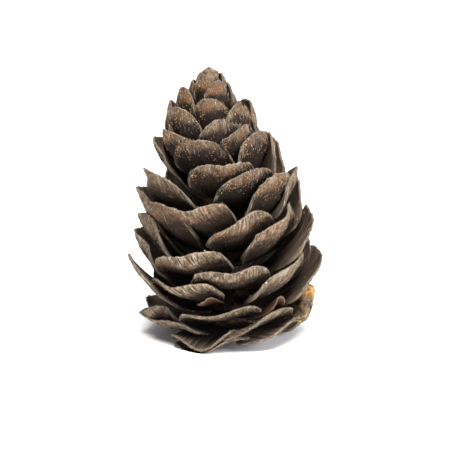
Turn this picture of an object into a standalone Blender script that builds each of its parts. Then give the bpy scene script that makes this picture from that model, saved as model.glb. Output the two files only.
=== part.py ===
"""An open larch cone with the stub of its twig, standing upright on its lowest scales.

Metres, +Z up. The front of the cone faces -Y, and azimuths are counted from there, positive to the right.
Sizes below are in millimetres unless a name says otherwise, and MM turns them to metres.
"""

import math
import random
from types import SimpleNamespace

import bmesh
import bpy
from mathutils import Matrix, Vector

MM = 0.001
SEED = 11

# The spiral that the scales sit on, from the tip down: where the first one faces, and then the turn to the
# next scale and the drop to it, each as (number of the scale, value).
FIRST_AZIMUTH = 220.7
TOP_APEX = 31.8
LOWEST_APEX = 1.0
TURNS = ((0, 130.2), (10, 130.3), (20, 129.5), (32, 129.1), (46, 131.0), (62, 134.6))
DROPS = ((0, 0.285), (10, 0.27), (20, 0.38), (32, 0.435), (46, 0.54), (62, 0.67))

# How far single scales stand off the even spiral: number of the scale to (degrees, mm up, mm out).
DRIFT = {1: (0, 0.3, 0.2), 2: (0, -0.6, -0.4), 4: (8, 0.8, 0.3), 6: (12, 0.6, 1.2), 7: (6, -1.0, 0),
         9: (0, -0.7, 0.9), 10: (-4, -1.0, -0.4),
         12: (16, 1.2, 0), 13: (0, 0, 0.2), 14: (0, 0.2, 0.7), 17: (-6, 0, 0.3), 21: (-10, 0, 0),
         23: (11, 0.6, 0), 26: (7, -0.6, 0), 28: (0, 1.2, 0), 29: (0, -0.5, 0),
         31: (-8, -0.8, 0), 34: (-10, 0.6, 0.3), 35: (4, 0.7, 0), 37: (-5, -0.8, 0), 39: (14, -0.2, 0.1),
         40: (5, -0.5, 0), 42: (0, -1.3, -0.3), 43: (4, 1.1, 0), 45: (-6, 2.6, 0), 46: (6, 1.7, 0.4), 47: (10, -0.3, 0),
         48: (-8, -0.9, 0), 49: (16, 0, 0), 50: (13, 0.4, 0), 51: (-9, -0.7, 0), 53: (0, -0.4, 1.3), 54: (0, 1.3, 0),
         56: (6, 0, 0), 57: (3, 2.3, 0.3), 59: (0, -1.4, 0), 61: (17, -1.6, -0.1), 62: (-4, -0.3, 0),
         64: (-8, -0.3, -0.2), 65: (37, 0.3, 0), 66: (26, 1.4, 0.6), 67: (-12, -0.1, 0)}

# The smallest scales above and below the spiral, as (azimuth, height of the apex): the tip's bud, and the
# last ones at the base, of which the cone rests on those at REST_APEX.
REST_APEX = 0.28
BUD_SCALES = ((-15, 32.4), (105, 32.7), (-135, 32.6))
BASE_SCALES = ((-14, REST_APEX), (50, 2.4), (145, REST_APEX), (-150, REST_APEX))

# The cone's form, each value against the height of a scale's apex.
REACH = ((0, 8.8), (3, 9.8), (6.7, 10.6), (10.4, 10.9), (14.7, 10.5), (20.2, 9.2), (23.3, 7.5), (25.8, 5.9),
         (28.2, 4.4), (30.5, 2.5), (31.8, 1.4), (32.9, 0.7))
TIP_LEAN = ((0, 86), (1.5, 78), (3, 52), (6, 34), (10, 22), (15, 12.5), (20, 12), (24, 1), (28, -20), (32, -30))
ROOT_LEAN = ((0, 96), (3, 96), (9, 88), (15, 80), (20, 74), (24, 74), (28, 72), (32, 55))
WIDTH = ((0, 9.2), (3, 9.4), (8, 9.8), (14, 9.4), (20, 8.6), (24, 8.0), (26, 7.2), (28.2, 6.0), (30.5, 4.4), (32, 3.0),
         (32.9, 2.0))
CUP = ((0, 0.2), (14, 0.22), (20, 0.26), (24, 0.31), (28, 0.4), (30.5, 0.5), (32, 0.6))
CORE = ((0.6, 1.3), (1.6, 2.2), (8, 2.5), (18, 2.4), (24, 2.3), (27, 2.1), (29, 1.7), (30.6, 1.2), (31.6, 0.9),
        (32.4, 0.75), (33.0, 0.4))

# The scales stand more open at the front: by how many degrees, around which azimuth, and at which heights.
OPEN_MORE = 27.0
OPEN_AZIMUTH = -15.0
OPEN_AT = ((0.5, 0), (4, 0.6), (8, 1), (12.5, 1), (19, 0.8), (23.5, 0.6), (27, 0.2), (29, 0))
MOST_LEAN = 88.0

# The tip of the cone bends a little to the left.
BEND = -2.0
BEND_FROM = 13.0
BEND_TO = 30.0

# One scale: its claw against its full width, where along it it is widest, its end against its full width,
# and how much of its length the corners of its end are rounded by, on a curve of this power.
CLAW = 0.25
WIDEST = 0.64
SHOULDER = 0.88
ROUNDING = 0.20
ROUNDING_POWER = 2.6

# A scale is cupped towards the cone, less so near its margins, and the cup is full from here on along it.
CUP_EASED = 0.55
CUP_FULL = 0.5

# The waves across a scale's end: their heights against the width, and their lengths in turns of a radian.
WAVE = 0.03
WAVE_TURN = 2.6
WARP = 0.045
WARP_TURN = 2.9

# The margins curl outward by this much of the width, and the right corner stands this much longer than the left,
# less so on a scale narrower than the full width here, in mm.
MARGIN_CURL = 0.03
MARGIN_SKEW = 0.4
SKEW = 0.04
FULL_WIDTH = 8.0

# A scale turns about its length by this many degrees, so that it lies before its left neighbour.
TWIST = 8.0

# How far a scale's root stands off the cone's axis, against the core's radius.
SUNK = 0.6

# A scale's thickness, and how many faces it has along it and across it; one that is less wide has fewer.
THICKNESS = 0.62
ACROSS = 4
ACROSS_SMALL = 2
SMALL_WIDTH = 5.0
ALONG = 3

# How much single scales differ: degrees of the tip's and root's lean, of azimuth and twist, share of width.
LEAN_DRAW = 5.0
ROOT_DRAW = 3.0
AZIMUTH_DRAW = 2.0
TWIST_DRAW = 5.0
WIDTH_DRAW = 0.05

CORE_SIDES = 10

# Where the cone's axis stands, so that the whole model is centred on the origin.
AXIS_AT = (-0.14, -0.13)

# The twig stub: points of its middle line from the cone's base outward, each (x, y, z, radius).
STUB = ((2.5, 0.3, 1.05, 0.5), (4.8, 0.4, 1.0, 0.6), (6.8, 0.5, 1.3, 0.8), (8.2, 0.5, 2.0, 1.1), (9.1, 0.4, 3.1, 1.15),
        (9.5, 0.3, 4.5, 0.95), (9.8, 0.2, 5.5, 0.8), (9.95, 0.2, 6.0, 0.5))
STUB_SIDES = 9

# The seed wings: the scale that each lies on, the degrees it is off that scale's middle, how high above it
# it lies, and its width and its length against the scale's.
WINGS = {"seed_wing_left": (59, -9, 1.9, 3.0, 1.0), "seed_wing_right": (62, 8, 2.0, 3.0, 1.0)}
WING_FROM = 0.6
WING_THICKNESS = 0.6

# Free space around the pieces that lie between the scales.
GAP = 0.32

# Edges that turn by more degrees than this are shaded sharp.
SHARP = 40.0


def between(points, at):
    """The value at this place on a line through a few (place, value) points."""
    at = min(max(at, points[0][0]), points[-1][0])
    for (low, first), (high, second) in zip(points, points[1:]):
        if at <= high:
            return first + (second - first) * (at - low) / (high - low)


def ease(share):
    share = min(max(share, 0.0), 1.0)
    return share * share * (3 - 2 * share)


def bent(point):
    """The point after the bend of the cone's tip."""
    return point + Vector((BEND * ease((point.z - BEND_FROM) / (BEND_TO - BEND_FROM)), 0, 0))


def all_scales():
    """Every scale of the cone, from the tip down."""
    draw = random.Random(SEED)
    azimuth, apex, scales = FIRST_AZIMUTH, TOP_APEX, []
    while apex > LOWEST_APEX:
        number = len(scales)
        turn, rise, out = DRIFT.get(number, (0, 0, 0))
        scales.append(one_scale(azimuth + turn, apex + rise, out, draw))
        azimuth += between(TURNS, number)
        apex -= between(DROPS, number)
    return scales + [one_scale(azimuth, apex, 0, draw) for azimuth, apex in BASE_SCALES + BUD_SCALES]


def one_scale(azimuth, apex, out, draw):
    """The sizes of the scale whose apex is at this azimuth and height, this far out from the cone's form."""
    more = OPEN_MORE * max(0.0, math.cos(math.radians(azimuth - OPEN_AZIMUTH))) ** 2 * between(OPEN_AT, apex)
    tip = math.radians(min(between(TIP_LEAN, apex) + more + draw.uniform(-LEAN_DRAW, LEAN_DRAW), MOST_LEAN))
    root = math.radians(between(ROOT_LEAN, apex) + draw.uniform(-ROOT_DRAW, ROOT_DRAW))
    turn = math.radians(azimuth + draw.uniform(-AZIMUTH_DRAW, AZIMUTH_DRAW))
    turned = tip - root
    out_per_length = (math.cos(root) - math.cos(tip)) / turned
    up_per_length = (math.sin(tip) - math.sin(root)) / turned
    start = SUNK * between(CORE, apex)
    length = (between(REACH, apex) + out - start) / out_per_length
    return SimpleNamespace(
        outward=Vector((math.sin(turn), -math.cos(turn), 0)),
        sideways=Vector((math.cos(turn), math.sin(turn), 0)),
        start=start,
        foot=apex - length * up_per_length,
        length=length,
        root=root,
        turned=turned,
        width=between(WIDTH, apex) * (1 + draw.uniform(-WIDTH_DRAW, WIDTH_DRAW)),
        cup=between(CUP, apex),
        twist=math.radians(TWIST + draw.uniform(-TWIST_DRAW, TWIST_DRAW)),
        wave=draw.uniform(0, math.tau),
    )


def on_scale(scale, u, v):
    """The point of a scale's middle surface at u, from -1 to 1 across it, and v, from 0 to 1 along it."""
    small = min(1.0, scale.width / FULL_WIDTH)
    t = v * (1 - ROUNDING * abs(u) ** ROUNDING_POWER * v * v + SKEW * small * u * v)
    lean = scale.root + scale.turned * t
    out = scale.start + scale.length * (math.cos(scale.root) - math.cos(lean)) / scale.turned
    up = scale.foot + scale.length * (math.sin(lean) - math.sin(scale.root)) / scale.turned
    half = 0.5 * scale.width * (CLAW + (1 - CLAW) * ease(v / WIDEST))
    half *= 1 - (1 - SHOULDER) * max(0.0, (v - WIDEST) / (1 - WIDEST)) ** 2
    side = half * u
    q = 2 * side / scale.width
    rise = scale.cup * scale.width * (q * q - CUP_EASED * q ** 4) * ease(v / CUP_FULL)
    rise += WAVE * scale.width * v * v * math.sin(WAVE_TURN * u + scale.wave)
    rise += WARP * small * scale.width * v * v * math.sin(WARP_TURN * u + 2 * scale.wave)
    rise -= MARGIN_CURL * scale.width * u ** 4 * math.sin(math.pi * v) * (1 - MARGIN_SKEW * u)
    inward = math.cos(lean) * -scale.outward + math.sin(lean) * Vector((0, 0, 1))
    turn = scale.twist * v
    across = math.cos(turn) * scale.sideways + math.sin(turn) * inward
    above = math.cos(turn) * inward - math.sin(turn) * scale.sideways
    return out * scale.outward + Vector((0, 0, up)) + side * across + rise * above


def scale_normal(scale, u, v):
    """Which way the outer, lower face of a scale points there."""
    step = 0.01
    across = on_scale(scale, u + step, v) - on_scale(scale, u - step, v)
    along = on_scale(scale, u, v + step) - on_scale(scale, u, v - step)
    return across.cross(along).normalized()


def mesh_object(name, bm, parent=None):
    bmesh.ops.recalc_face_normals(bm, faces=bm.faces)
    mesh = bpy.data.meshes.new(name)
    bm.to_mesh(mesh)
    bm.free()
    made = bpy.data.objects.new(name, mesh)
    (parent or bpy.context.scene.collection).objects.link(made)
    return made


def blade(name, scale, low, high, middle, thickness, counts, parent=None):
    """A closed thin solid along part of a scale: from low to high in (u, v), middle off the scale's surface."""
    bm = bmesh.new()
    across, along = counts
    faces = []
    for side in (-1, 1):
        grid = []
        for j in range(along + 1):
            v = low[1] + (high[1] - low[1]) * j / along
            row = []
            for i in range(across + 1):
                u = low[0] + (high[0] - low[0]) * i / across
                normal = scale_normal(scale, u, v)
                at = on_scale(scale, u, v) + (middle + side * thickness / 2) * normal
                row.append(bm.verts.new(bent(at) * MM))
            grid.append(row)
        faces.append(grid)
    for grid in faces:
        for j in range(along):
            for i in range(across):
                a, b, c, d = grid[j][i], grid[j][i + 1], grid[j + 1][i + 1], grid[j + 1][i]
                halves = ((a, b, c), (a, c, d)) if i < across / 2 else ((a, b, d), (b, c, d))
                for corners in halves:
                    bm.faces.new(corners)
    outer, inner = ([grid[0][i] for i in range(across + 1)] + [grid[j][across] for j in range(1, along + 1)]
                    + [grid[along][i] for i in range(across - 1, -1, -1)]
                    + [grid[j][0] for j in range(along - 1, 0, -1)] for grid in faces)
    for i, corner in enumerate(outer):
        after = (i + 1) % len(outer)
        bm.faces.new((corner, outer[after], inner[after]))
        bm.faces.new((corner, inner[after], inner[i]))
    return mesh_object(name, bm, parent)


def swept(name, stations, sides):
    """A closed solid of rings around a middle line: each station is (centre, direction, radius)."""
    bm = bmesh.new()
    rings = []
    for centre, direction, radius in stations:
        turn = Vector((0, 0, 1)).rotation_difference(direction)
        ring = []
        for i in range(sides):
            angle = math.tau * (i + 0.5) / sides
            off = turn @ Vector((radius * math.cos(angle), radius * math.sin(angle), 0))
            ring.append(bm.verts.new((centre + off) * MM))
        rings.append(ring)
    for low, high in zip(rings, rings[1:]):
        for i in range(sides):
            after = (i + 1) % sides
            bm.faces.new((low[i], low[after], high[after], high[i]))
    bm.faces.new(rings[0])
    bm.faces.new(rings[-1])
    return mesh_object(name, bm)


def turned_core():
    """The woody axis: a spindle on the cone's middle line."""
    upward = Vector((0, 0, 1))
    return swept("cone", [(bent(Vector((0, 0, height))), upward, radius) for height, radius in CORE], CORE_SIDES)


def twig_stub(name, grown):
    """The stub of the twig, each side grown outward by this much."""
    points = [Vector(point[:3]) for point in STUB]
    stations = []
    for i, point in enumerate(points):
        direction = (points[min(i + 1, len(points) - 1)] - points[max(i - 1, 0)]).normalized()
        ends = {0: -1, len(points) - 1: 1}
        stations.append((point + ends.get(i, 0) * grown * direction, direction, STUB[i][3] + grown))
    return swept(name, stations, STUB_SIDES)


def seed_wing(name, scales, grown):
    """One papery wing on the inner face of a scale, each side grown outward by this much."""
    number, aside, lift, width, length = WINGS[name.removesuffix("_room")]
    under = scales[number]
    turn = math.radians(aside)
    across = math.cos(turn) * under.sideways - math.sin(turn) * under.outward
    wing = SimpleNamespace(**vars(under))
    wing.outward = math.cos(turn) * under.outward + math.sin(turn) * under.sideways
    wing.sideways = across
    wing.foot = under.foot + lift
    wing.width = width + 2 * grown
    wing.cup = 0
    share = grown / under.length
    return blade(name, wing, (-1, WING_FROM - share), (1, length + share), 0, WING_THICKNESS + 2 * grown, (2, 2))


def apply_modifiers(obj):
    """Leaves the object with the mesh that its modifiers make."""
    graph = bpy.context.evaluated_depsgraph_get()
    made = bpy.data.meshes.new_from_object(obj.evaluated_get(graph))
    obj.modifiers.clear()
    obj.data = made


def keep_outer_shell(obj):
    """Fills the hollows that fusing sealed and drops loose scraps: only the largest shell stays."""
    bm = bmesh.new()
    bm.from_mesh(obj.data)
    bmesh.ops.triangulate(bm, faces=bm.faces)
    unseen, shells = set(bm.faces), []
    while unseen:
        front = [unseen.pop()]
        shell = set(front)
        while front:
            face = front.pop()
            for edge in face.edges:
                if len(edge.link_faces) != 2:
                    continue
                for other in edge.link_faces:
                    if other in unseen:
                        unseen.discard(other)
                        shell.add(other)
                        front.append(other)
        shells.append(shell)
    largest = max(shells, key=len)
    bmesh.ops.delete(bm, geom=[face for face in bm.faces if face not in largest], context="FACES")
    bm.to_mesh(obj.data)
    bm.free()


def boolean(obj, operation, other):
    modifier = obj.modifiers.new(operation.title(), "BOOLEAN")
    modifier.operation = operation
    modifier.solver = "MANIFOLD"
    if isinstance(other, bpy.types.Collection):
        modifier.operand_type = "COLLECTION"
        modifier.collection = other
    else:
        modifier.object = other


def material(obj, colour, roughness):
    made = bpy.data.materials.new(obj.name)
    made.use_nodes = True
    shader = made.node_tree.nodes["Principled BSDF"]
    shader.inputs["Base Color"].default_value = (*colour, 1)
    shader.inputs["Roughness"].default_value = roughness
    shader.inputs["Metallic"].default_value = 0
    obj.data.materials.clear()
    obj.data.materials.append(made)


def clear_scene():
    for obj in list(bpy.data.objects):
        bpy.data.objects.remove(obj, do_unlink=True)


def box(name, low, high):
    bm = bmesh.new()
    bmesh.ops.create_cube(bm, size=1)
    for vert in bm.verts:
        vert.co = Vector([low[i] + (high[i] - low[i]) * (vert.co[i] + 0.5) for i in range(3)]) * MM
    return mesh_object(name, bm)


def build():
    clear_scene()
    scales = all_scales()
    core = turned_core()
    repeats = bpy.data.collections.new("scales")
    bpy.context.scene.collection.children.link(repeats)
    for i, scale in enumerate(scales):
        across = ACROSS if scale.width > SMALL_WIDTH else ACROSS_SMALL
        blade(f"scale_{i}", scale, (-1, 0), (1, 1), 0, THICKNESS, (across, ALONG), repeats)
    boolean(core, "UNION", repeats)
    ground = box("ground", (-30, -30, -20), (30, 30, 0))
    boolean(core, "DIFFERENCE", ground)
    rooms = [twig_stub("twig_stub_room", GAP)] + [seed_wing(f"{name}_room", scales, GAP) for name in WINGS]
    for room in rooms:
        boolean(core, "DIFFERENCE", room)
    apply_modifiers(core)
    for helper in list(repeats.objects) + [ground] + rooms:
        bpy.data.objects.remove(helper, do_unlink=True)
    bpy.data.collections.remove(repeats)
    keep_outer_shell(core)
    material(core, (0.17, 0.115, 0.07), 0.85)
    stub = twig_stub("twig_stub", 0)
    material(stub, (0.13, 0.10, 0.07), 0.9)
    wings = [seed_wing(name, scales, 0) for name in WINGS]
    for wing in wings:
        material(wing, (0.28, 0.15, 0.07), 0.7)
    for made in [core, stub] + wings:
        made.data.transform(Matrix.Translation(Vector((*AXIS_AT, 0)) * MM))
        made.data.polygons.foreach_set("use_smooth", [True] * len(made.data.polygons))
        made.data.set_sharp_from_angle(angle=math.radians(SHARP))


build()
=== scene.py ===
import math
import random
from types import SimpleNamespace

import bpy
import numpy as np
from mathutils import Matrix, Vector


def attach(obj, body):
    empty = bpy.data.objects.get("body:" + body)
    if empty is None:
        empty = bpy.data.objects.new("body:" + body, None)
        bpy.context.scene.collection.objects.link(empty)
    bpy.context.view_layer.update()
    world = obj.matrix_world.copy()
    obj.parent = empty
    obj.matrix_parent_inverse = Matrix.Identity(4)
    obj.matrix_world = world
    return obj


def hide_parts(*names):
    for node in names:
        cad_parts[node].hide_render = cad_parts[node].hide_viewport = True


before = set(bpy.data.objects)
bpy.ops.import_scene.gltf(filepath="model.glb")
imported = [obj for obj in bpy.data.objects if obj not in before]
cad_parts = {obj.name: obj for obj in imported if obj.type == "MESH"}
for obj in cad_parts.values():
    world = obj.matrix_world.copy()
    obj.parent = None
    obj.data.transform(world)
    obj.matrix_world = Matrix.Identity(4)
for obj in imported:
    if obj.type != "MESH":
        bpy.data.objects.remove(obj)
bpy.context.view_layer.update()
bpy.ops.object.select_all(action="DESELECT")


# The seed scales: thin woody plates that grew on a spiral round the cone's axis, each from a narrow claw.
# They are closed and overlap at the tip, spread open lower down, and lie flat at the base. Here is where
# they sit, in millimetres and degrees, with the front at azimuth 0 and the right at 90.
SEED = 11
FIRST_AZIMUTH = 220.7
TOP_APEX = 31.8
LOWEST_APEX = 1.0
TURNS = ((0, 130.2), (10, 130.3), (20, 129.5), (32, 129.1), (46, 131.0), (62, 134.6))
DROPS = ((0, 0.285), (10, 0.27), (20, 0.38), (32, 0.435), (46, 0.54), (62, 0.67))
# Single scales that stand off the even spiral: degrees round, then millimetres up and outwards.
DRIFT = {
    1: (0, 0.3, 0.2), 2: (0, -0.6, -0.4), 4: (8, 0.8, 0.3), 6: (12, 0.6, 1.2), 7: (6, -1.0, 0),
    9: (0, -0.7, 0.9), 10: (-4, -1.0, -0.4), 12: (16, 1.2, 0), 13: (0, 0, 0.2), 14: (0, 0.2, 0.7),
    17: (-6, 0, 0.3), 21: (-10, 0, 0), 23: (11, 0.6, 0), 26: (7, -0.6, 0), 28: (0, 1.2, 0), 29: (0, -0.5, 0),
    31: (-8, -0.8, 0), 34: (-10, 0.6, 0.3), 35: (4, 0.7, 0), 37: (-5, -0.8, 0), 39: (14, -0.2, 0.1),
    40: (5, -0.5, 0), 42: (0, -1.3, -0.3), 43: (4, 1.1, 0), 45: (-6, 2.6, 0), 46: (6, 1.7, 0.4),
    47: (10, -0.3, 0), 48: (-8, -0.9, 0), 49: (16, 0, 0), 50: (13, 0.4, 0), 51: (-9, -0.7, 0),
    53: (0, -0.4, 1.3), 54: (0, 1.3, 0), 56: (6, 0, 0), 57: (3, 2.3, 0.3), 59: (0, -1.4, 0),
    61: (17, -1.6, -0.1), 62: (-4, -0.3, 0), 64: (-8, -0.3, -0.2), 65: (37, 0.3, 0), 66: (26, 1.4, 0.6),
    67: (-12, -0.1, 0),
}
REST_APEX = 0.28
BUD_SCALES = ((-15, 31.6), (105, 31.9), (-135, 31.8))
BASE_SCALES = ((-14, REST_APEX), (50, 2.4), (145, REST_APEX), (-150, REST_APEX))
# How the scales change with the height of their apexes: how far out they reach, how they lean from level at
# their tips and roots, how wide and how cupped they are, and how thick the axis is there.
REACH = ((0, 8.8), (3, 9.8), (6.7, 10.6), (10.4, 10.9), (14.7, 10.5), (20.2, 9.2), (23.3, 7.5), (25.8, 5.9),
         (28.2, 4.4), (30.5, 2.5), (31.8, 1.4), (32.9, 0.7))
TIP_LEAN = ((0, 86), (1.5, 78), (3, 52), (6, 34), (10, 22), (15, 12.5), (20, 12), (24, 1), (28, -20),
            (32, -30))
ROOT_LEAN = ((0, 96), (3, 96), (9, 88), (15, 80), (20, 74), (24, 74), (28, 72), (32, 55))
WIDTH = ((0, 9.2), (3, 9.4), (8, 9.8), (14, 9.4), (20, 8.6), (24, 8.0), (26, 7.2), (28.2, 6.0), (30.5, 4.4),
         (32, 3.0), (32.9, 2.0))
CUP = ((0, 0.2), (14, 0.22), (20, 0.26), (24, 0.31), (28, 0.4), (30.5, 0.5), (32, 0.6))
CORE = ((0.6, 1.3), (1.6, 2.2), (8, 2.5), (18, 2.4), (24, 2.3), (27, 2.1), (29, 1.7), (30.6, 1.2),
        (31.6, 0.9), (32.4, 0.75), (33.0, 0.4))
# The front scales are opened further than the rest, most of all at half height.
OPEN_MORE = 27.0
OPEN_AZIMUTH = -15.0
OPEN_AT = ((0.5, 0), (4, 0.6), (8, 1), (12.5, 1), (19, 0.8), (23.5, 0.6), (27, 0.2), (29, 0))
MOST_LEAN = 88.0
TWIST = 8.0
SUNK = 0.6
LEAN_DRAW = 5.0
ROOT_DRAW = 3.0
AZIMUTH_DRAW = 2.0
TWIST_DRAW = 5.0
WIDTH_DRAW = 0.05


def between(points, at):
    """The value at this place on a line through a few (place, value) points."""
    places, values = zip(*points)
    return np.interp(at, places, values)


def one_scale(azimuth, apex, out, draw):
    """The sizes of the scale whose apex is at this azimuth and height, this far out from the cone's form."""
    more = OPEN_MORE * max(0.0, math.cos(math.radians(azimuth - OPEN_AZIMUTH))) ** 2 * between(OPEN_AT, apex)
    tip = math.radians(min(between(TIP_LEAN, apex) + more + draw.uniform(-LEAN_DRAW, LEAN_DRAW), MOST_LEAN))
    root = math.radians(between(ROOT_LEAN, apex) + draw.uniform(-ROOT_DRAW, ROOT_DRAW))
    turn = math.radians(azimuth + draw.uniform(-AZIMUTH_DRAW, AZIMUTH_DRAW))
    turned = tip - root
    start = SUNK * between(CORE, apex)
    length = (between(REACH, apex) + out - start) * turned / (math.cos(root) - math.cos(tip))
    return SimpleNamespace(
        outward=np.array((math.sin(turn), -math.cos(turn), 0)),
        sideways=np.array((math.cos(turn), math.sin(turn), 0)),
        start=start,
        foot=apex - length * (math.sin(tip) - math.sin(root)) / turned,
        length=length,
        root=root,
        turned=turned,
        width=between(WIDTH, apex) * (1 + draw.uniform(-WIDTH_DRAW, WIDTH_DRAW)),
        cup=between(CUP, apex),
        twist=math.radians(TWIST + draw.uniform(-TWIST_DRAW, TWIST_DRAW)),
        wave=draw.uniform(0, math.tau),
        apex=apex,
    )


draw = random.Random(SEED)
azimuth, apex, scales = FIRST_AZIMUTH, TOP_APEX, []
while apex > LOWEST_APEX:
    number = len(scales)
    turn, rise, out = DRIFT.get(number, (0, 0, 0))
    scales.append(one_scale(azimuth + turn, apex + rise, out, draw))
    azimuth += between(TURNS, number)
    apex -= between(DROPS, number)
scales += [one_scale(azimuth, apex, 0, draw) for azimuth, apex in BASE_SCALES + BUD_SCALES]


# The blade of one scale. Its end is worn to a wavy, slightly ragged rim, and its margins thin out. The plate
# is a grid with closer lines towards its margins, thickened and then shaped by formula.
MM = 0.001
# Where the axis stands, and how the cone bends to the left between two heights.
AXIS_AT = (-0.14, -0.13)
BEND = -2.0
BEND_FROM = 13.0
BEND_TO = 30.0
# The blade's outline, as shares of its width and length.
CLAW = 0.25
WIDEST = 0.64
SHOULDER = 0.88
ROUNDING = 0.20
ROUNDING_POWER = 2.6
SKEW = 0.04
# Its cup, its slow waves and its curled margins. Scales narrower than the full width are less wavy.
CUP_EASED = 0.55
CUP_FULL = 0.5
WAVE = 0.03
WAVE_TURN = 2.6
WARP = 0.045
WARP_TURN = 2.9
MARGIN_CURL = 0.07
MARGIN_SKEW = 0.4
FULL_WIDTH = 8.0
# Its wear, in millimetres: a ragged rim, ripples in the blade and fine ridges along both faces.
RAGGED = 0.13
RAGGED_LENGTH = 0.7
RAGGED_FINER = 2.7
RAGGED_POWER = 8
RIPPLE = 0.16
RIPPLE_LENGTH = 2.6
RIDGE = 0.04
RIDGE_ACROSS = 0.55
RIDGE_ALONG = 3.5
# Half its thickness at the root, in the middle and at the rim, and how that rounds off at the very edge.
ROOT_HALF = 0.45
MIDDLE_HALF = 0.21
RIM_HALF = 0.11
EDGE_ROUND = 0.14
EDGE_THIN = 0.35
FLOOR_MM = 0.02
# How fine the plate is, and what its material reads: the margin's fade, the felt's cap, below which the felt
# darkens, partly as the part its neighbour lay over and partly by painted shade, and the grain map.
DENSER = 1.35
COLUMNS_PER_MM = 5.6
ROWS_PER_MM = 4.0
FADE_MM = 1.5
CAP_NARROWS = 0.1
GRAIN_APART_MM = 20


def ease(share):
    share = np.clip(share, 0.0, 1.0)
    return share * share * (3 - 2 * share)


def noise_at(x, y, salt):
    """Smooth noise from -1 to 1 over a plane, about one unit coarse."""
    column, row = np.floor(x).astype(np.int64), np.floor(y).astype(np.int64)
    across, up = ease(x - column), ease(y - row)

    def corner(i, j):
        stirred = (column + i) * 374761393 + (row + j) * 668265263 + salt * 974634777
        stirred = ((stirred ^ (stirred >> 13)) * 1274126177) & 0x7FFFFFFF
        return (stirred % 2048) / 1023.5 - 1

    low = corner(0, 0) * (1 - across) + corner(1, 0) * across
    high = corner(0, 1) * (1 - across) + corner(1, 1) * across
    return low * (1 - up) + high * up


def half_width(scale, v):
    half = 0.5 * scale.width * (CLAW + (1 - CLAW) * ease(v / WIDEST))
    return half * (1 - (1 - SHOULDER) * np.maximum(0.0, (v - WIDEST) / (1 - WIDEST)) ** 2)


def on_scale(scale, u, v):
    """Points of a scale's middle surface at u, from -1 to 1 across it, and v, from 0 to 1 along it, in mm."""
    t = v * (1 - ROUNDING * np.abs(u) ** ROUNDING_POWER * v * v + scale.skew * u * v)
    worn = noise_at(u * scale.width / RAGGED_LENGTH, 0 * u, scale.salt)
    worn += 0.5 * noise_at(RAGGED_FINER * u * scale.width / RAGGED_LENGTH, 0 * u + 5, scale.salt)
    t += scale.ragged / scale.length * worn * np.clip(v, 0, 1.1) ** RAGGED_POWER
    lean = scale.root + scale.turned * t
    out = scale.start + scale.length * (math.cos(scale.root) - np.cos(lean)) / scale.turned
    up = scale.foot + scale.length * (np.sin(lean) - math.sin(scale.root)) / scale.turned
    side = half_width(scale, v) * u
    q = 2 * side / scale.width
    rise = scale.cup * scale.width * (q * q - CUP_EASED * q ** 4) * ease(v / CUP_FULL)
    rise += WAVE * scale.width * v * v * np.sin(WAVE_TURN * u + scale.wave)
    rise += scale.warp * v * v * np.sin(WARP_TURN * u + 2 * scale.wave)
    rise -= MARGIN_CURL * scale.width * u ** 4 * np.sin(math.pi * v) * (1 - MARGIN_SKEW * u)
    along = v * scale.length
    rise += scale.ripple * noise_at(side / RIPPLE_LENGTH, along / RIPPLE_LENGTH, scale.salt + 7) * v
    inward = np.cos(lean)[:, None] * -scale.outward + np.sin(lean)[:, None] * np.array((0, 0, 1.0))
    turn = (scale.twist * v)[:, None]
    across = np.cos(turn) * scale.sideways + np.sin(turn) * inward
    above = np.cos(turn) * inward - np.sin(turn) * scale.sideways
    at = out[:, None] * scale.outward + up[:, None] * np.array((0, 0, 1.0))
    at += side[:, None] * across + rise[:, None] * above
    at[:, 0] += BEND * ease((at[:, 2] - BEND_FROM) / (BEND_TO - BEND_FROM)) + AXIS_AT[0]
    at[:, 1] += AXIS_AT[1]
    return at


def scale_frame(scale, u, v):
    """The point there, the way along the scale and the way to its upper, inner side."""
    step = 0.01
    across = on_scale(scale, u + step, v) - on_scale(scale, u - step, v)
    along = on_scale(scale, u, v + step) - on_scale(scale, u, v - step)
    along /= np.linalg.norm(along, axis=1, keepdims=True)
    normal = np.cross(along, across)
    normal /= np.linalg.norm(normal, axis=1, keepdims=True)
    return on_scale(scale, u, v), along, normal


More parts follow.
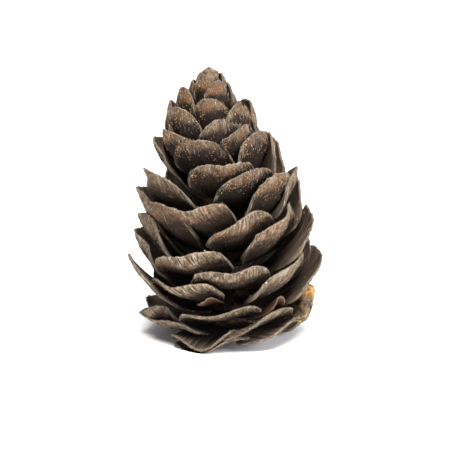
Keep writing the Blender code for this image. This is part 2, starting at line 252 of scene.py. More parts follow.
def add_plate(name, scale, low, half_of, ridge):
    """A closed thin plate on a scale's surface from v = low to its rim, with its grain map and its tones."""
    columns = 2 * max(6, round(scale.width * COLUMNS_PER_MM / 2))
    rows = max(10, round(scale.length * ROWS_PER_MM * (1 - low)))
    bpy.ops.mesh.primitive_grid_add(x_subdivisions=columns, y_subdivisions=rows, size=2)
    plate = bpy.context.object
    plate.name = name
    thicken = plate.modifiers.new("thickness", "SOLIDIFY")
    thicken.thickness = 1
    thicken.offset = 0
    bpy.ops.object.modifier_apply(modifier=thicken.name)
    mesh = plate.data
    flat = np.empty(3 * len(mesh.vertices), np.float32)
    mesh.vertices.foreach_get("co", flat)
    flat = flat.reshape(-1, 3).astype(float)
    u = np.sign(flat[:, 0]) * (1 - np.clip(1 - np.abs(flat[:, 0]), 0, 1) ** DENSER)
    v = low + (1 - low) * (1 - np.clip((1 - flat[:, 1]) / 2, 0, 1) ** DENSER)
    inner = flat[:, 2] > 0
    at, _, normal = scale_frame(scale, u, v)
    margin = np.minimum((1 - np.abs(u)) * half_width(scale, v), (1 - v) * scale.length)
    rounded = np.sqrt(1 - (1 - np.clip(margin / EDGE_ROUND, 0, 1)) ** 2)
    half = half_of(v) * (EDGE_THIN + (1 - EDGE_THIN) * rounded)
    across_mm, along_mm = u * half_width(scale, v), v * scale.length
    ridges = ridge * noise_at(across_mm / RIDGE_ACROSS, along_mm / RIDGE_ALONG, scale.salt + 3) * rounded
    off = np.where(inner, half + 0.5 * ridges, -half - ridges)
    at += off[:, None] * normal
    at[:, 2] = np.maximum(at[:, 2], FLOOR_MM)
    mesh.vertices.foreach_set("co", (at * MM).astype(np.float32).ravel())
    tones = {
        "outer": np.where(inner, 0.0, 1.0),
        "margin": np.clip(margin / FADE_MM, 0, 1),
        "along": v,
        # The cap: how far down the felt stays light, narrower at the margins; below it the felt darkens,
        # partly as wood its neighbour lay over and partly by painted shade.
        "cap": v - CAP_NARROWS * u * u - scale.hidden,
        "tone": np.full(len(u), scale.tone),
        "rust": np.full(len(u), scale.rust),
    }
    for label, values in tones.items():
        made = mesh.attributes.new(label, "FLOAT", "POINT")
        made.data.foreach_set("value", values.astype(np.float32))
    corners = np.empty(len(mesh.loops), np.int32)
    mesh.loops.foreach_get("vertex_index", corners)
    while mesh.uv_layers:
        mesh.uv_layers.remove(mesh.uv_layers[0])
    grain = mesh.uv_layers.new(name="grain")
    places = np.stack((across_mm + GRAIN_APART_MM * scale.salt, along_mm + 2 * GRAIN_APART_MM * inner), axis=1)
    grain.data.foreach_set("uv", places[corners].astype(np.float32).ravel())
    plate.select_set(False)
    return plate


def join_pieces(name, pieces):
    """One object of several, facing outwards and shaded smooth."""
    for piece in pieces:
        piece.select_set(True)
    bpy.context.view_layer.objects.active = pieces[0]
    if len(pieces) > 1:
        bpy.ops.object.join()
    made = bpy.context.object
    made.name = name
    made.data.name = name
    bpy.ops.object.mode_set(mode="EDIT")
    bpy.ops.mesh.select_all(action="SELECT")
    bpy.ops.mesh.normals_make_consistent(inside=False)
    bpy.ops.object.mode_set(mode="OBJECT")
    bpy.ops.object.shade_smooth()
    made.select_set(False)
    return made


# How the scales' looks change with the height of their apexes: how far down their felt's cap reaches before it
# darkens, partly where their neighbours lie over it and partly by painted shade, how much rust they have and
# how much painted shade darkens the higher scales.
HIDDEN_AND_SHADED_AT = ((0, 0.08), (3, 0.04), (6, -0.06), (17, -0.06), (20, 0.03), (25, 0.05), (28, 0.02), (31, -0.04),
             (33, -0.08))
RUST_AT = ((0, 0.15), (8, 0.3), (14, 0.6), (20, 1.0), (27, 1.0), (30, 0.6), (33, 0.9))
UPPER_SHADE_AT = ((0, 0.0), (17, 0.0), (23, 0.5), (27, 0.85), (33, 1.0))
LOOK_SEED = 5
TONE_DRAW = 0.5
RUST_DRAW = (0.6, 1.1)
SKEW_DRAW = (0.4, 1.4)
look = random.Random(LOOK_SEED)
for number, scale in enumerate(scales):
    scale.salt = number + 1
    # The tone: a random share, plus painted shade that darkens the higher scales.
    scale.tone = TONE_DRAW * look.random() + float(between(UPPER_SHADE_AT, scale.apex))
    scale.rust = float(between(RUST_AT, scale.apex)) * look.uniform(*RUST_DRAW)
    small = min(1.0, scale.width / FULL_WIDTH)
    scale.hidden = float(between(HIDDEN_AND_SHADED_AT, scale.apex))
    scale.ragged = RAGGED * small
    scale.ripple = RIPPLE * small
    scale.warp = WARP * small * scale.width
    scale.skew = SKEW * small * look.uniform(*SKEW_DRAW)


def half_of_scale(v):
    return between(((0, ROOT_HALF), (0.35, MIDDLE_HALF), (0.8, MIDDLE_HALF), (1, RIM_HALF)), v)


# The scales in five pieces, by the height of their apexes.
groups = {"crown_scales": (26.0, 40.0), "upper_scales": (19.6, 26.0), "middle_scales": (13.0, 19.6),
          "lower_scales": (5.5, 13.0), "base_scales": (-1.0, 5.5)}
scale_pieces = []
for name, (low, high) in groups.items():
    plates = [add_plate(f"{name}_{scale.salt}", scale, 0, half_of_scale, RIDGE)
              for scale in scales if low <= scale.apex < high]
    scale_pieces.append(join_pieces(name, plates))


# Weathered larch scale wood: a felted, silver-grey to tan outer face, streaked along it by fine hairs and
# stained rust-brown where its neighbour lay on it, dark below its cap, partly where its neighbour lay over it
# and partly by painted shade, and darker on the higher scales by painted shade; a smooth dark brown inner face
# with painted shade towards its root; a pale worn rim. Sizes are across and along a scale, and the streaks and
# specks are as coarse as they need to be to show.
STREAK_MM = (0.16, 1.5)
BROAD_STREAK_MM = (0.34, 2.4)
PATCH_MM = (1.8, 2.2)
SPECK_MM = (0.14, 0.2)
RIB_MM = (0.22, 7.0)
STAIN_MM = (1.2, 1.4)
WORN_RIM_MM = (1.6, 2.4)
FELT_BUMP_MM = 0.12


def linear(hex_colour):
    """An sRGB hex colour as the linear one that a shader takes."""
    parts = [int(hex_colour[i:i + 2], 16) / 255 for i in (1, 3, 5)]
    return [part / 12.92 if part <= 0.04045 else ((part + 0.055) / 1.055) ** 2.4 for part in parts] + [1]


def add_node(tree, kind, links=None, **settings):
    """Adds a node with its settings; links gives each input's value, or the output that feeds it."""
    node = tree.nodes.new(kind)
    for name, value in settings.items():
        setattr(node, name, value)
    for name, value in (links or {}).items():
        if isinstance(value, bpy.types.NodeSocket):
            tree.links.new(value, node.inputs[name])
        else:
            node.inputs[name].default_value = value
    return node


def new_material(name):
    made = bpy.data.materials.new(name)
    made.use_nodes = True
    return made, made.node_tree, made.node_tree.nodes["Principled BSDF"]


def mixed(tree, share, first, second):
    """One colour over another by a share; each is a hex colour or another node's output."""
    first, second = (linear(colour) if isinstance(colour, str) else colour for colour in (first, second))
    return add_node(tree, "ShaderNodeMix", {0: share, 6: first, 7: second}, data_type="RGBA").outputs[2]


def ranged(tree, value, low, high, to_low=0.0, to_high=1.0):
    """A value's range taken to another one, and held inside it."""
    links = {"Value": value, "From Min": low, "From Max": high, "To Min": to_low, "To Max": to_high}
    return add_node(tree, "ShaderNodeMapRange", links).outputs[0]


wood, tree, shader = new_material("weathered larch scale with painted shade")
outer, margin, along, cap, tone, rust = (
    add_node(tree, "ShaderNodeAttribute", attribute_name=label).outputs["Fac"]
    for label in ("outer", "margin", "along", "cap", "tone", "rust"))
grain_map = add_node(tree, "ShaderNodeUVMap", uv_map="grain").outputs[0]


def grain_noise(across_mm, along_mm, detail=3.0):
    """Noise on the scale's own grain, with features of this size across and along it."""
    size = add_node(tree, "ShaderNodeMapping", {0: grain_map, "Scale": (1 / across_mm, 1 / along_mm, 1)})
    links = {"Vector": size.outputs[0], "Scale": 1.0, "Detail": detail, "Roughness": 0.6}
    return add_node(tree, "ShaderNodeTexNoise", links).outputs["Fac"]


streaks = grain_noise(*STREAK_MM)
broad = grain_noise(*BROAD_STREAK_MM)
patches = grain_noise(*PATCH_MM, detail=2.0)
specks = grain_noise(*SPECK_MM, detail=1.0)
ribs = grain_noise(*RIB_MM, detail=2.0)
felt = mixed(tree, ranged(tree, streaks, 0.37, 0.6), "#40362c", "#b9ab96")
felt = mixed(tree, ranged(tree, broad, 0.44, 0.6, 0.0, 0.85), felt, "#2a2119")
felt = mixed(tree, ranged(tree, broad, 0.45, 0.34, 0.0, 0.65), felt, "#d2c6b3")
felt = mixed(tree, ranged(tree, patches, 0.46, 0.62, 0.0, 0.5), felt, "#8a745a")
# Felt darker with the tone: random in part, and painted shade on the higher scales.
felt = mixed(tree, ranged(tree, tone, 0.15, 1.0, 0.0, 0.85), felt, "#453a30")
felt = mixed(tree, ranged(tree, specks, 0.54, 0.64, 0.0, 0.75), felt, "#241c15")
stain_place = ranged(tree, along, 1.02, 0.8)
stain_patch = ranged(tree, grain_noise(*STAIN_MM), 0.4, 0.56)
stain = add_node(tree, "ShaderNodeMath", {0: stain_place, 1: stain_patch}, operation="MULTIPLY").outputs[0]
stain = add_node(tree, "ShaderNodeMath", {0: stain, 1: rust}, operation="MULTIPLY").outputs[0]
felt = mixed(tree, stain, felt, mixed(tree, ranged(tree, specks, 0.4, 0.6), "#3f2413", "#85542c"))
# Below its cap the felt fades into a dark colour: partly the darker felt that the neighbour above lay over,
# partly painted shade in the gap under that neighbour and at the margins.
reach = add_node(tree, "ShaderNodeMath", {0: ranged(tree, patches, 0.3, 0.7, -0.05, 0.05), 1: cap},
                 operation="ADD").outputs[0]
covered_and_shaded = mixed(tree, ranged(tree, streaks, 0.36, 0.66), "#251e19", "#483c32")
# Painted shade: this dark colour goes near-black on scales of high tone, the higher ones.
covered_and_shaded = mixed(tree, ranged(tree, tone, 0.4, 0.8, 0.0, 0.85), covered_and_shaded, "#0f0c0a")
felt = mixed(tree, ranged(tree, reach, 0.9, 0.78, 0.0, 0.97), felt, covered_and_shaded)
inside = mixed(tree, ranged(tree, ribs, 0.4, 0.65), "#302822", "#5f5144")
inside = mixed(tree, ranged(tree, margin, 0.35, 0.0, 0.0, 0.35), inside, "#665a4c")
# Darker towards the root: painted shade deep between the scales.
inside = mixed(tree, ranged(tree, along, 0.7, 0.3, 0.0, 0.9), inside, "#2a221d")
face = mixed(tree, outer, inside, felt)
rim = mixed(tree, ranged(tree, streaks, 0.35, 0.65), "#4c4238", "#978b79")
worn_rim = ranged(tree, grain_noise(*WORN_RIM_MM, detail=1.0), 0.4, 0.6, 0.1, 0.85)
rim_share = add_node(tree, "ShaderNodeMath", {0: ranged(tree, margin, 0.11, 0.02), 1: worn_rim},
                     operation="MULTIPLY").outputs[0]
wood_colour = mixed(tree, rim_share, face, rim)
tree.links.new(wood_colour, shader.inputs["Base Color"])
shader.inputs["Roughness"].default_value = 0.88
shader.inputs["Specular IOR Level"].default_value = 0.12
height = add_node(tree, "ShaderNodeMath", {0: streaks, 1: specks}, operation="SUBTRACT").outputs[0]
bump = add_node(tree, "ShaderNodeBump", {"Height": height, "Strength": 0.8, "Distance": FELT_BUMP_MM * MM})
tree.links.new(bump.outputs[0], shader.inputs["Normal"])
for piece in scale_pieces:
    piece.data.materials.clear()
    piece.data.materials.append(wood)
    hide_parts("cone")
    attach(piece, "root")


# The axis that the scales grow from: a rough brown spindle, seen only in the dark gaps, turned from its
# outline and bent with the cone's tip.
AXIS_SIDES = 36
AXIS_RINGS = 59
AXIS_TOP = 32.7
AXIS_ROUGH = 0.12
TIP_OVER = 0.1
TIP_ROUND = 0.5
BUD_FROM = 30.5
BUD_RISE = 1.5
BUD_THICK = 0.12
BUD_END = 0.4
AXIS_GRAIN_MM = 0.5
AXIS_BUMP_MM = 0.15
bpy.ops.mesh.primitive_circle_add(vertices=AXIS_SIDES, radius=1, fill_type="NGON")
axis = bpy.context.object
axis.name = "cone_axis"
bpy.ops.object.mode_set(mode="EDIT")
bpy.ops.mesh.select_all(action="SELECT")
for _ in range(AXIS_RINGS):
    bpy.ops.mesh.extrude_region_move(TRANSFORM_OT_translate={"value": (0, 0, 1)})
bpy.ops.object.mode_set(mode="OBJECT")
flat = np.empty(3 * len(axis.data.vertices), np.float32)
axis.data.vertices.foreach_get("co", flat)
flat = flat.reshape(-1, 3).astype(float)
level = CORE[0][0] + (AXIS_TOP - CORE[0][0]) * flat[:, 2] / AXIS_RINGS
around = np.arctan2(flat[:, 1], flat[:, 0])
radius = between(CORE, level) * ease((AXIS_TOP + TIP_OVER - level) / TIP_ROUND)
radius += AXIS_ROUGH * noise_at(around * 4, level * 1.5, 3)
lumps = BUD_THICK + BUD_THICK * noise_at(around * 2, level * 2.2, 4)
radius += ease((level - BUD_FROM) / BUD_RISE) * lumps * ease((AXIS_TOP - level) / BUD_END)
at = np.stack((radius * np.cos(around), radius * np.sin(around), level), axis=1)
at[:, 0] += BEND * ease((level - BEND_FROM) / (BEND_TO - BEND_FROM)) + AXIS_AT[0]
at[:, 1] += AXIS_AT[1]
axis.data.vertices.foreach_set("co", (at * MM).astype(np.float32).ravel())
axis = join_pieces("cone_axis", [axis])


def noise_in(tree, place, size_mm, detail):
    """Noise through a piece's own space, with features of this size."""
    links = {"Vector": place, "Scale": 1 / (size_mm * MM), "Detail": detail}
    return add_node(tree, "ShaderNodeTexNoise", links).outputs["Fac"]


# Dead pith and bark: dull and nearly black-brown inside the cone, a dry tan at the bare tip.
axis_wood, tree, shader = new_material("rough brown axis wood")
place = add_node(tree, "ShaderNodeTexCoord").outputs["Object"]
rough = noise_in(tree, place, AXIS_GRAIN_MM, 4.0)
level = add_node(tree, "ShaderNodeSeparateXYZ", {0: place}).outputs["Z"]
axis_colour = mixed(tree, ranged(tree, rough, 0.35, 0.65), "#2b2018", "#5a4430")
tip_colour = mixed(tree, ranged(tree, rough, 0.38, 0.6), "#2e2318", "#705c44")
axis_colour = mixed(tree, ranged(tree, level, BUD_FROM * MM, (BUD_FROM + 1) * MM), axis_colour, tip_colour)
tree.links.new(axis_colour, shader.inputs["Base Color"])
shader.inputs["Roughness"].default_value = 0.9
bump = add_node(tree, "ShaderNodeBump", {"Height": rough, "Strength": 0.8, "Distance": AXIS_BUMP_MM * MM})
tree.links.new(bump.outputs[0], shader.inputs["Normal"])
axis.data.materials.append(axis_wood)
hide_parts("cone")
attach(axis, "root")


# Felt hairs: short stiff hairs that lie along the outer faces and stand out as a fringe at the rims. Each is
# a thin closed sliver; real ones are finer, and these are as coarse as they need to be to show.
HAIRS_PER_MM2 = 9.0
HAIRY_SHARE = 0.28
HAIR_LONG = (0.5, 1.1)
HAIR_THICK = 0.045
HAIR_SPREAD = 0.5
HAIR_MARGIN = 0.96
HAIR_LOWEST = 0.4
HAIR_LIFT = (0.05, 0.3)
HAIR_ASIDE = 0.22
HAIR_SUNK = 0.9
RIM_HAIR = 0.45
HAIR_FULL_WIDTH = 7
HAIR_CLEAR_MM = 0.15
HAIR_SEED = 21
HAIR_TONE_MM = 0.6
hairs_drawn = np.random.default_rng(HAIR_SEED)


def needle_mesh(name, roots, ways, lengths, thickness):
    """Closed three-sided slivers from these roots, each along its way to a point."""
    count = len(roots)
    helper = np.where(np.abs(ways[:, 2:3]) < 0.8, np.array([[0, 0, 1.0]]), np.array([[1.0, 0, 0]]))
    first = np.cross(ways, helper)
    first /= np.linalg.norm(first, axis=1, keepdims=True)
    second = np.cross(ways, first)
    corners = [roots + thickness[:, None] * (math.cos(turn) * first + math.sin(turn) * second)
               for turn in (0, math.tau / 3, 2 * math.tau / 3)]
    points = np.stack(corners + [roots + lengths[:, None] * ways], axis=1).reshape(-1, 3) * MM
    one = np.array(((0, 2, 1), (0, 1, 3), (1, 2, 3), (2, 0, 3)))
    faces = (one[None] + 4 * np.arange(count)[:, None, None]).reshape(-1, 3)
    mesh = bpy.data.meshes.new(name)
    mesh.from_pydata(points.tolist(), [], faces.tolist())
    made = bpy.data.objects.new(name, mesh)
    bpy.context.scene.collection.objects.link(made)
    return join_pieces(name, [made])


roots, ways, lengths = [], [], []
for scale in scales:
    count = int(HAIRS_PER_MM2 * scale.width * scale.length * HAIRY_SHARE)
    u = hairs_drawn.uniform(-HAIR_MARGIN, HAIR_MARGIN, count)
    v = 1 - (HAIRY_SHARE - scale.hidden) * np.abs(hairs_drawn.normal(0, HAIR_SPREAD, count))
    v = np.clip(v, HAIR_LOWEST, 1)
    at, along_way, normal = scale_frame(scale, u, v)
    lift = hairs_drawn.uniform(*HAIR_LIFT, count)[:, None]
    aside = hairs_drawn.normal(0, HAIR_ASIDE, count)[:, None] * np.cross(along_way, normal)
    way = along_way - lift * normal + aside
    roots.append(at - (half_of_scale(v) * HAIR_SUNK)[:, None] * normal)
    ways.append(way / np.linalg.norm(way, axis=1, keepdims=True))
    grown = hairs_drawn.uniform(*HAIR_LONG, count) * np.clip((1.02 - v) * 6, RIM_HAIR, 1)
    lengths.append(grown * min(1, scale.width / HAIR_FULL_WIDTH))
roots, ways, lengths = np.concatenate(roots), np.concatenate(ways), np.concatenate(lengths)
high_enough = roots[:, 2] + np.minimum(lengths * ways[:, 2], 0) > HAIR_CLEAR_MM
roots, ways, lengths = roots[high_enough], ways[high_enough], lengths[high_enough]
felt_hairs = needle_mesh("felt_hairs", roots, ways, lengths, np.full(len(roots), HAIR_THICK / 2))
# Dry plant hair: pale and a little silky, darker where it holds dirt.
hair, tree, shader = new_material("pale plant hair")
varied = noise_in(tree, add_node(tree, "ShaderNodeTexCoord").outputs["Object"], HAIR_TONE_MM, 2.0)
hair_colour = mixed(tree, ranged(tree, varied, 0.35, 0.65), "#3f362d", "#a3967f")
tree.links.new(hair_colour, shader.inputs["Base Color"])
shader.inputs["Roughness"].default_value = 0.7
felt_hairs.data.materials.append(hair)
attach(felt_hairs, "root")


# Crumbs: rust-brown grains of dried resin and dust caught in the felt of the upper and middle scales, and
# pale flecks of lichen and grit on the inner faces and rims. Each is a small flattened eight-sided grain.
GRAINS_PER_MM2 = 20.0
GRAINY_SHARE = 0.3
GRAIN_SIZE = (0.035, 0.085)
GRAIN_STRETCH = (0.7, 1.6)
GRAIN_FLAT = 0.7
GRAIN_MARGIN = 0.9
GRAIN_REACH = (0.4, 0.99)
GRAIN_PATCH_MM = 1.4
GRAIN_BAND = (0.3, 0.4)
GRAIN_SCATTER = 0.25
GRAIN_PATCH_EDGE = 0.15
GRAIN_RAISED = 0.03
GRAIN_TONE_MM = 0.25
FLECKS = 700
FLECK_SIZE = (0.05, 0.12)
FLECK_MARGIN = 0.95
FLECK_REACH = 0.5
FLECK_RAISED = 0.02
FLECK_TONE_MM = 2.5
GRAIN_SEED = 33
grains_drawn = np.random.default_rng(GRAIN_SEED)


def grain_mesh(name, places, ups, sizes):
    """Closed eight-sided grains at these places, flattened along their ups."""
    count = len(places)
    helper = grains_drawn.normal(size=(count, 3))
    first = np.cross(ups, helper)
    first /= np.linalg.norm(first, axis=1, keepdims=True)
    second = np.cross(ups, first)
    sizes = sizes[:, None]
    stretch = grains_drawn.uniform(*GRAIN_STRETCH, (count, 1))
    corners = (first * stretch, second, -first * stretch, -second, GRAIN_FLAT * ups, -GRAIN_FLAT * ups)
    points = np.stack([places + sizes * corner for corner in corners], axis=1).reshape(-1, 3)
    points[:, 2] = np.maximum(points[:, 2], FLOOR_MM)
    one = np.array(((0, 1, 4), (1, 2, 4), (2, 3, 4), (3, 0, 4), (1, 0, 5), (2, 1, 5), (3, 2, 5), (0, 3, 5)))
    faces = (one[None] + 6 * np.arange(count)[:, None, None]).reshape(-1, 3)
    mesh = bpy.data.meshes.new(name)
    mesh.from_pydata((points * MM).tolist(), [], faces.tolist())
    made = bpy.data.objects.new(name, mesh)
    bpy.context.scene.collection.objects.link(made)
    return join_pieces(name, [made])


places, ups = [], []
for scale in scales:
    count = int(GRAINS_PER_MM2 * scale.width * scale.length * GRAINY_SHARE * scale.rust)
    u = grains_drawn.uniform(-GRAIN_MARGIN, GRAIN_MARGIN, count)
    v = np.clip(1 - GRAINY_SHARE * np.abs(grains_drawn.normal(*GRAIN_BAND, count)), *GRAIN_REACH)
    patch = noise_at(u * scale.width / GRAIN_PATCH_MM, v * scale.length / GRAIN_PATCH_MM, scale.salt + 11)
    kept = patch + grains_drawn.normal(0, GRAIN_SCATTER, count) > GRAIN_PATCH_EDGE
    u, v = u[kept], v[kept]
    if len(u) == 0:
        continue
    at, _, normal = scale_frame(scale, u, v)
    places.append(at - (half_of_scale(v) + GRAIN_RAISED)[:, None] * normal)
    ups.append(-normal)
places, ups = np.concatenate(places), np.concatenate(ups)
rust_grains = grain_mesh("rust_grains", places, ups, grains_drawn.uniform(*GRAIN_SIZE, len(places)))
# Dried resin with dust in it: rust-brown, glossier than the wood, with pale spots painted on some grains as
# glints.
grain, tree, shader = new_material("rust-brown resin grain")
varied = noise_in(tree, add_node(tree, "ShaderNodeTexCoord").outputs["Object"], GRAIN_TONE_MM, 1.0)
rusty = mixed(tree, ranged(tree, varied, 0.35, 0.6), "#573416", "#8b5c33")
# Pale spots: painted glints.
rusty = mixed(tree, ranged(tree, varied, 0.6, 0.66), rusty, "#c2a277")
tree.links.new(rusty, shader.inputs["Base Color"])
shader.inputs["Roughness"].default_value = 0.45
rust_grains.data.materials.append(grain)
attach(rust_grains, "root")

places, ups = [], []
area = sum(scale.width * scale.length for scale in scales)
for scale in scales:
    count = int(FLECKS * scale.width * scale.length / area)
    u = grains_drawn.uniform(-FLECK_MARGIN, FLECK_MARGIN, count)
    v = 1 - FLECK_REACH * grains_drawn.uniform(0, 1, count) ** 2
    side = grains_drawn.choice((-1, 1), count)
    at, _, normal = scale_frame(scale, u, v)
    places.append(at + (side * (half_of_scale(v) + FLECK_RAISED))[:, None] * normal)
    ups.append(side[:, None] * normal)
places, ups = np.concatenate(places), np.concatenate(ups)
pale_flecks = grain_mesh("pale_flecks", places, ups, grains_drawn.uniform(*FLECK_SIZE, len(places)))
# Grit and young lichen: dull, sand-grey in some places and olive in others.
fleck, tree, shader = new_material("pale lichen and grit")
varied = noise_in(tree, add_node(tree, "ShaderNodeTexCoord").outputs["Object"], FLECK_TONE_MM, 1.0)
fleck_colour = mixed(tree, ranged(tree, varied, 0.45, 0.55), "#8f846c", "#7d773f")
tree.links.new(fleck_colour, shader.inputs["Base Color"])
shader.inputs["Roughness"].default_value = 0.8
pale_flecks.data.materials.append(fleck)
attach(pale_flecks, "root")


# The broken twig stub: a bark stalk from under the cone's base that thickens into a cracked knuckle and turns
# up to an orange break. It is a curve with a round section, cut by fissures and given bark plates by formula.
# Its route holds a place and a radius for each point, from the cone's base to the break.
STUB = ((2.5, 0.3, 1.05, 0.5), (4.8, 0.4, 1.0, 0.6), (6.8, 0.5, 1.3, 0.8), (8.2, 0.5, 2.0, 1.1),
        (9.1, 0.4, 3.1, 1.15), (9.5, 0.3, 4.5, 0.95), (9.8, 0.2, 5.5, 0.8), (9.95, 0.2, 6.0, 0.5))
STUB_STEPS = 12
STUB_ROUND = 7
PLATE_MM = 0.9
PLATE_DEEP = 0.16
FISSURE_DEEP = 0.3
FISSURE_HALF = 0.22
FINE_DEEP = 0.06
BARK_FROM = 5
BARK_FULL = 2
BREAK_FROM = 4.9
BREAK_FADE = 0.3
BARK_GRAIN_MM = 0.4
BLOTCH_MM = 1.3
BARK_BUMP_MM = 0.15
route = bpy.data.curves.new("twig_stub_bark", "CURVE")
route.dimensions = "3D"
route.bevel_depth = 1
route.bevel_resolution = STUB_ROUND
route.resolution_u = STUB_STEPS
route.use_fill_caps = True
line = route.splines.new("BEZIER")
line.bezier_points.add(len(STUB) - 1)
for point, (x, y, z, radius) in zip(line.bezier_points, STUB):
    point.co = (x, y, z)
    point.radius = radius
    point.handle_left_type = "AUTO"
    point.handle_right_type = "AUTO"
stub = bpy.data.objects.new("twig_stub_bark", route)
bpy.context.scene.collection.objects.link(stub)
stub.select_set(True)
bpy.context.view_layer.objects.active = stub
bpy.ops.object.convert(target="MESH")
stub = bpy.context.object
stub.select_set(False)
mesh = stub.data
at = np.array([vertex.co[:] for vertex in mesh.vertices])
out = np.array([vertex.normal[:] for vertex in mesh.vertices])
turn = np.arctan2(out[:, 1], out[:, 0])
plates = noise_at(turn * 1.6 + at[:, 1] / PLATE_MM, at[:, 2] / PLATE_MM + at[:, 0] / 2, 51)
cracks = noise_at(turn * 1.4 + 9, at[:, 2] / 1.5 + at[:, 0] / 3, 52)
cracks = np.clip(1 - np.abs(cracks) / FISSURE_HALF, 0, 1)
fine = noise_at(turn * 5, at[:, 2] * 4 + at[:, 0] * 3, 53)
deep = PLATE_DEEP * plates - FISSURE_DEEP * cracks + FINE_DEEP * fine
shown = np.clip((at[:, 0] - BARK_FROM) / BARK_FULL, 0, 1)
at += (deep * shown)[:, None] * out + np.array(AXIS_AT + (0,))
mesh.vertices.foreach_set("co", (at * MM).astype(np.float32).ravel())
made = mesh.attributes.new("crack", "FLOAT", "POINT")
made.data.foreach_set("value", cracks.astype(np.float32))
stub = join_pieces("twig_stub_bark", [stub])
# Larch bark: dull grey-brown plates with ochre blotches, cracks painted near-black as shade in the fissures,
# and bare orange wood at the break.
bark, tree, shader = new_material("cracked larch bark with an orange break")
place = add_node(tree, "ShaderNodeTexCoord").outputs["Object"]
height = add_node(tree, "ShaderNodeSeparateXYZ", {0: place}).outputs["Z"]
rough = noise_in(tree, place, BARK_GRAIN_MM, 4.0)
blotch = noise_in(tree, place, BLOTCH_MM, 2.0)
crack = add_node(tree, "ShaderNodeAttribute", attribute_name="crack").outputs["Fac"]
barky = mixed(tree, ranged(tree, rough, 0.35, 0.65), "#3b2c20", "#7a6450")
barky = mixed(tree, ranged(tree, blotch, 0.5, 0.6, 0.0, 0.6), barky, "#8a7238")
broken = mixed(tree, ranged(tree, rough, 0.35, 0.65), "#8a5a2c", "#c69655")
at_break = ranged(tree, height, (BREAK_FROM - BREAK_FADE) * MM, (BREAK_FROM + BREAK_FADE) * MM)
barky = mixed(tree, at_break, barky, broken)
# Near-black in the fissures: painted shade.
barky = mixed(tree, ranged(tree, crack, 0.3, 0.9), barky, "#17100b")
tree.links.new(barky, shader.inputs["Base Color"])
shader.inputs["Roughness"].default_value = 0.9
bump = add_node(tree, "ShaderNodeBump", {"Height": rough, "Strength": 0.9, "Distance": BARK_BUMP_MM * MM})
tree.links.new(bump.outputs[0], shader.inputs["Normal"])
stub.data.materials.clear()
stub.data.materials.append(bark)
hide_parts("twig_stub")
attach(stub, "root")

# Splinters stand round the break, and a yellow-green lichen crust of small lobes sits under the knuckle.
SPLINTERS = 26
SPLINTER_FAR = (0.1, 0.5)
SPLINTER_SUNK = 0.25
SPLINTER_SLOPE = 0.5
SPLINTER_SPLAY = 0.25
SPLINTER_LONG = (0.25, 0.5)
SPLINTER_THICK = (0.06, 0.14)
LOBES = 260
LOBE_TURN = (-1.9, 0.7)
LOBE_OUT = 0.35
LOBE_UP = 0.8
LOBE_SIZE = (0.07, 0.18)
LOBE_TONE_MM = 0.5
turns = grains_drawn.uniform(0, math.tau, SPLINTERS)
far = grains_drawn.uniform(*SPLINTER_FAR, SPLINTERS)
end_x, end_y, end_z, _ = STUB[-1]
roots = np.stack((end_x + AXIS_AT[0] + far * np.cos(turns), end_y + AXIS_AT[1] + far * np.sin(turns),
                  end_z - SPLINTER_SUNK - SPLINTER_SLOPE * far), axis=1)
ways = np.stack((SPLINTER_SPLAY * np.cos(turns), SPLINTER_SPLAY * np.sin(turns), np.ones(SPLINTERS)), axis=1)
ways /= np.linalg.norm(ways, axis=1, keepdims=True)
splinters = needle_mesh("break_splinters", roots, ways, grains_drawn.uniform(*SPLINTER_LONG, SPLINTERS),
                        grains_drawn.uniform(*SPLINTER_THICK, SPLINTERS))
splinters.data.materials.append(bark)
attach(splinters, "root")
share = grains_drawn.uniform(0, 1, LOBES)
knuckle = np.array(STUB[2:5])
*middle, radius = (np.interp(share, (0, 0.5, 1), values) for values in knuckle.T)
turns = grains_drawn.normal(*LOBE_TURN, LOBES)
ups = np.stack((np.full(LOBES, LOBE_OUT), np.sin(turns), np.cos(turns) * LOBE_UP), axis=1)
ups /= np.linalg.norm(ups, axis=1, keepdims=True)
places = np.stack(middle, axis=1) + radius[:, None] * ups + np.array(AXIS_AT + (0,))
lobes = grain_mesh("lichen_lobes", places, ups, grains_drawn.uniform(*LOBE_SIZE, LOBES))
# Crusted lichen: dull, powdery, mustard to pale yellow-green.
lichen, tree, shader = new_material("yellow-green lichen crust")
varied = noise_in(tree, add_node(tree, "ShaderNodeTexCoord").outputs["Object"], LOBE_TONE_MM, 2.0)
lichen_colour = mixed(tree, ranged(tree, varied, 0.38, 0.62), "#6f6428", "#b3a860")
tree.links.new(lichen_colour, shader.inputs["Base Color"])
shader.inputs["Roughness"].default_value = 0.85
lobes.data.materials.append(lichen)
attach(lobes, "root")


# The seed wings: thin brown papery blades that the seeds flew on, still lodged on two lower scales. Each lies
# along the inner face of its scale, veined along its length and frayed at the end.
# Each wing has the number of its scale, the degrees that it stands aside, its lift and its width.
WINGS = {"seed_wing_left": (59, -9, 1.9, 3.0), "seed_wing_right": (62, 8, 2.0, 3.0)}
WING_FROM = 0.6
WING_HALF = 0.09
WING_VEIN = 0.03
WING_FRAYED = 0.25
WING_SALT = 80
VEIN_MM = (0.12, 3.0)
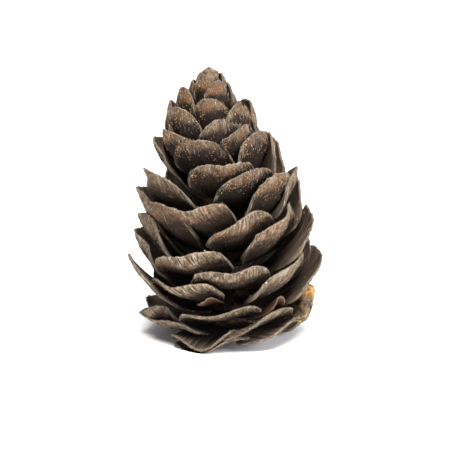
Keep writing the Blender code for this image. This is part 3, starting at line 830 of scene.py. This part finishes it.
# Seed wing: like thin brown paper, smoother than the scales, with fine veins and a paler edge.
wing_paper, tree, shader = new_material("papery seed wing")
grain_map = add_node(tree, "ShaderNodeUVMap", uv_map="grain").outputs[0]
size = add_node(tree, "ShaderNodeMapping", {0: grain_map, "Scale": (1 / VEIN_MM[0], 1 / VEIN_MM[1], 1)})
veins = add_node(tree, "ShaderNodeTexNoise", {"Vector": size.outputs[0], "Scale": 1.0, "Detail": 2.0})
papery = mixed(tree, ranged(tree, veins.outputs["Fac"], 0.4, 0.6), "#20130b", "#54351f")
margin = add_node(tree, "ShaderNodeAttribute", attribute_name="margin").outputs["Fac"]
papery = mixed(tree, ranged(tree, margin, 0.25, 0.0, 0.0, 0.6), papery, "#5a4636")
tree.links.new(papery, shader.inputs["Base Color"])
shader.inputs["Roughness"].default_value = 0.6


def half_of_wing(v):
    return np.full(len(v), WING_HALF)


for name, (number, aside, lift, width) in WINGS.items():
    under = scales[number]
    turn = math.radians(aside)
    wing = SimpleNamespace(**vars(under))
    wing.outward = math.cos(turn) * under.outward + math.sin(turn) * under.sideways
    wing.sideways = math.cos(turn) * under.sideways - math.sin(turn) * under.outward
    wing.foot = under.foot + lift
    wing.width = width
    wing.cup = 0
    wing.skew = 0
    wing.ragged = WING_FRAYED
    wing.salt = under.salt + WING_SALT
    plate = add_plate(name, wing, WING_FROM, half_of_wing, WING_VEIN)
    blade = join_pieces(f"{name}_blade", [plate])
    blade.data.materials.clear()
    blade.data.materials.append(wing_paper)
    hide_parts(name)
    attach(blade, "root")


# The studio: a matt white paper floor, a wide soft key light from above the front, a fill from the right, a
# light from behind the top and a pale surround.
FLOOR_SIZE_MM = 4000
bpy.ops.mesh.primitive_plane_add(size=FLOOR_SIZE_MM * MM)
floor = bpy.context.object
floor.name = "studio_floor"
paper, tree, shader = new_material("matt white paper")
shader.inputs["Base Color"].default_value = linear("#f6f5f3")
shader.inputs["Roughness"].default_value = 0.9
floor.data.materials.append(paper)


def add_light(name, at_mm, aim_mm, size_mm, power, colour):
    lamp = bpy.data.lights.new(name, "AREA")
    lamp.shape = "DISK"
    lamp.size = size_mm * MM
    lamp.energy = power
    lamp.color = linear(colour)[:3]
    made = bpy.data.objects.new(name, lamp)
    bpy.context.scene.collection.objects.link(made)
    made.location = Vector(at_mm) * MM
    made.rotation_euler = (Vector(aim_mm) - Vector(at_mm)).to_track_quat("-Z", "Y").to_euler()


AIM_MM = (0, 0, 14)
add_light("key_light", at_mm=(0, -180, 310), aim_mm=AIM_MM, size_mm=200, power=2.65, colour="#fffbf6")
add_light("fill_light", at_mm=(260, -160, 120), aim_mm=AIM_MM, size_mm=220, power=1.2, colour="#f6f8ff")
add_light("top_light", at_mm=(20, 120, 320), aim_mm=(0, 0, 16), size_mm=240, power=0.9, colour="#ffffff")
world = bpy.data.worlds.new("pale studio")
world.use_nodes = True
world.node_tree.nodes["Background"].inputs["Color"].default_value = linear("#f1f4ff")
world.node_tree.nodes["Background"].inputs["Strength"].default_value = 0.4
bpy.context.scene.world = world
bpy.context.scene.view_settings.view_transform = "Standard"


# The camera looks at the cone's front from 15 degrees above, through a long lens, framed as in the photo:
# the foot of the cone's axis is at the pixel below, and one millimetre there is 8.4 pixels.
IMAGE = (450, 454)
FOOT_PIXEL = (226.5, 334)
PIXELS_PER_MM = 8.4
ELEVATION = 15.0
LENS = 500.0
SENSOR = 36.0
lift = math.radians(ELEVATION)
back = Vector((0, -math.cos(lift), math.sin(lift)))
right = Vector((1, 0, 0))
up = back.cross(right)
across = (IMAGE[0] / 2 - FOOT_PIXEL[0]) / PIXELS_PER_MM
above = (FOOT_PIXEL[1] - IMAGE[1] / 2) / PIXELS_PER_MM
aim = Vector((*AXIS_AT, 0)) + across * right + above * up
distance = max(IMAGE) / PIXELS_PER_MM * LENS / SENSOR
lens = bpy.data.cameras.new("studio_camera")
lens.lens = LENS
lens.sensor_width = SENSOR
lens.clip_start = 0.01
camera = bpy.data.objects.new("studio_camera", lens)
bpy.context.scene.collection.objects.link(camera)
camera.location = (aim + distance * back) * MM
camera.rotation_euler = back.to_track_quat("Z", "Y").to_euler()
bpy.context.scene.camera = camera
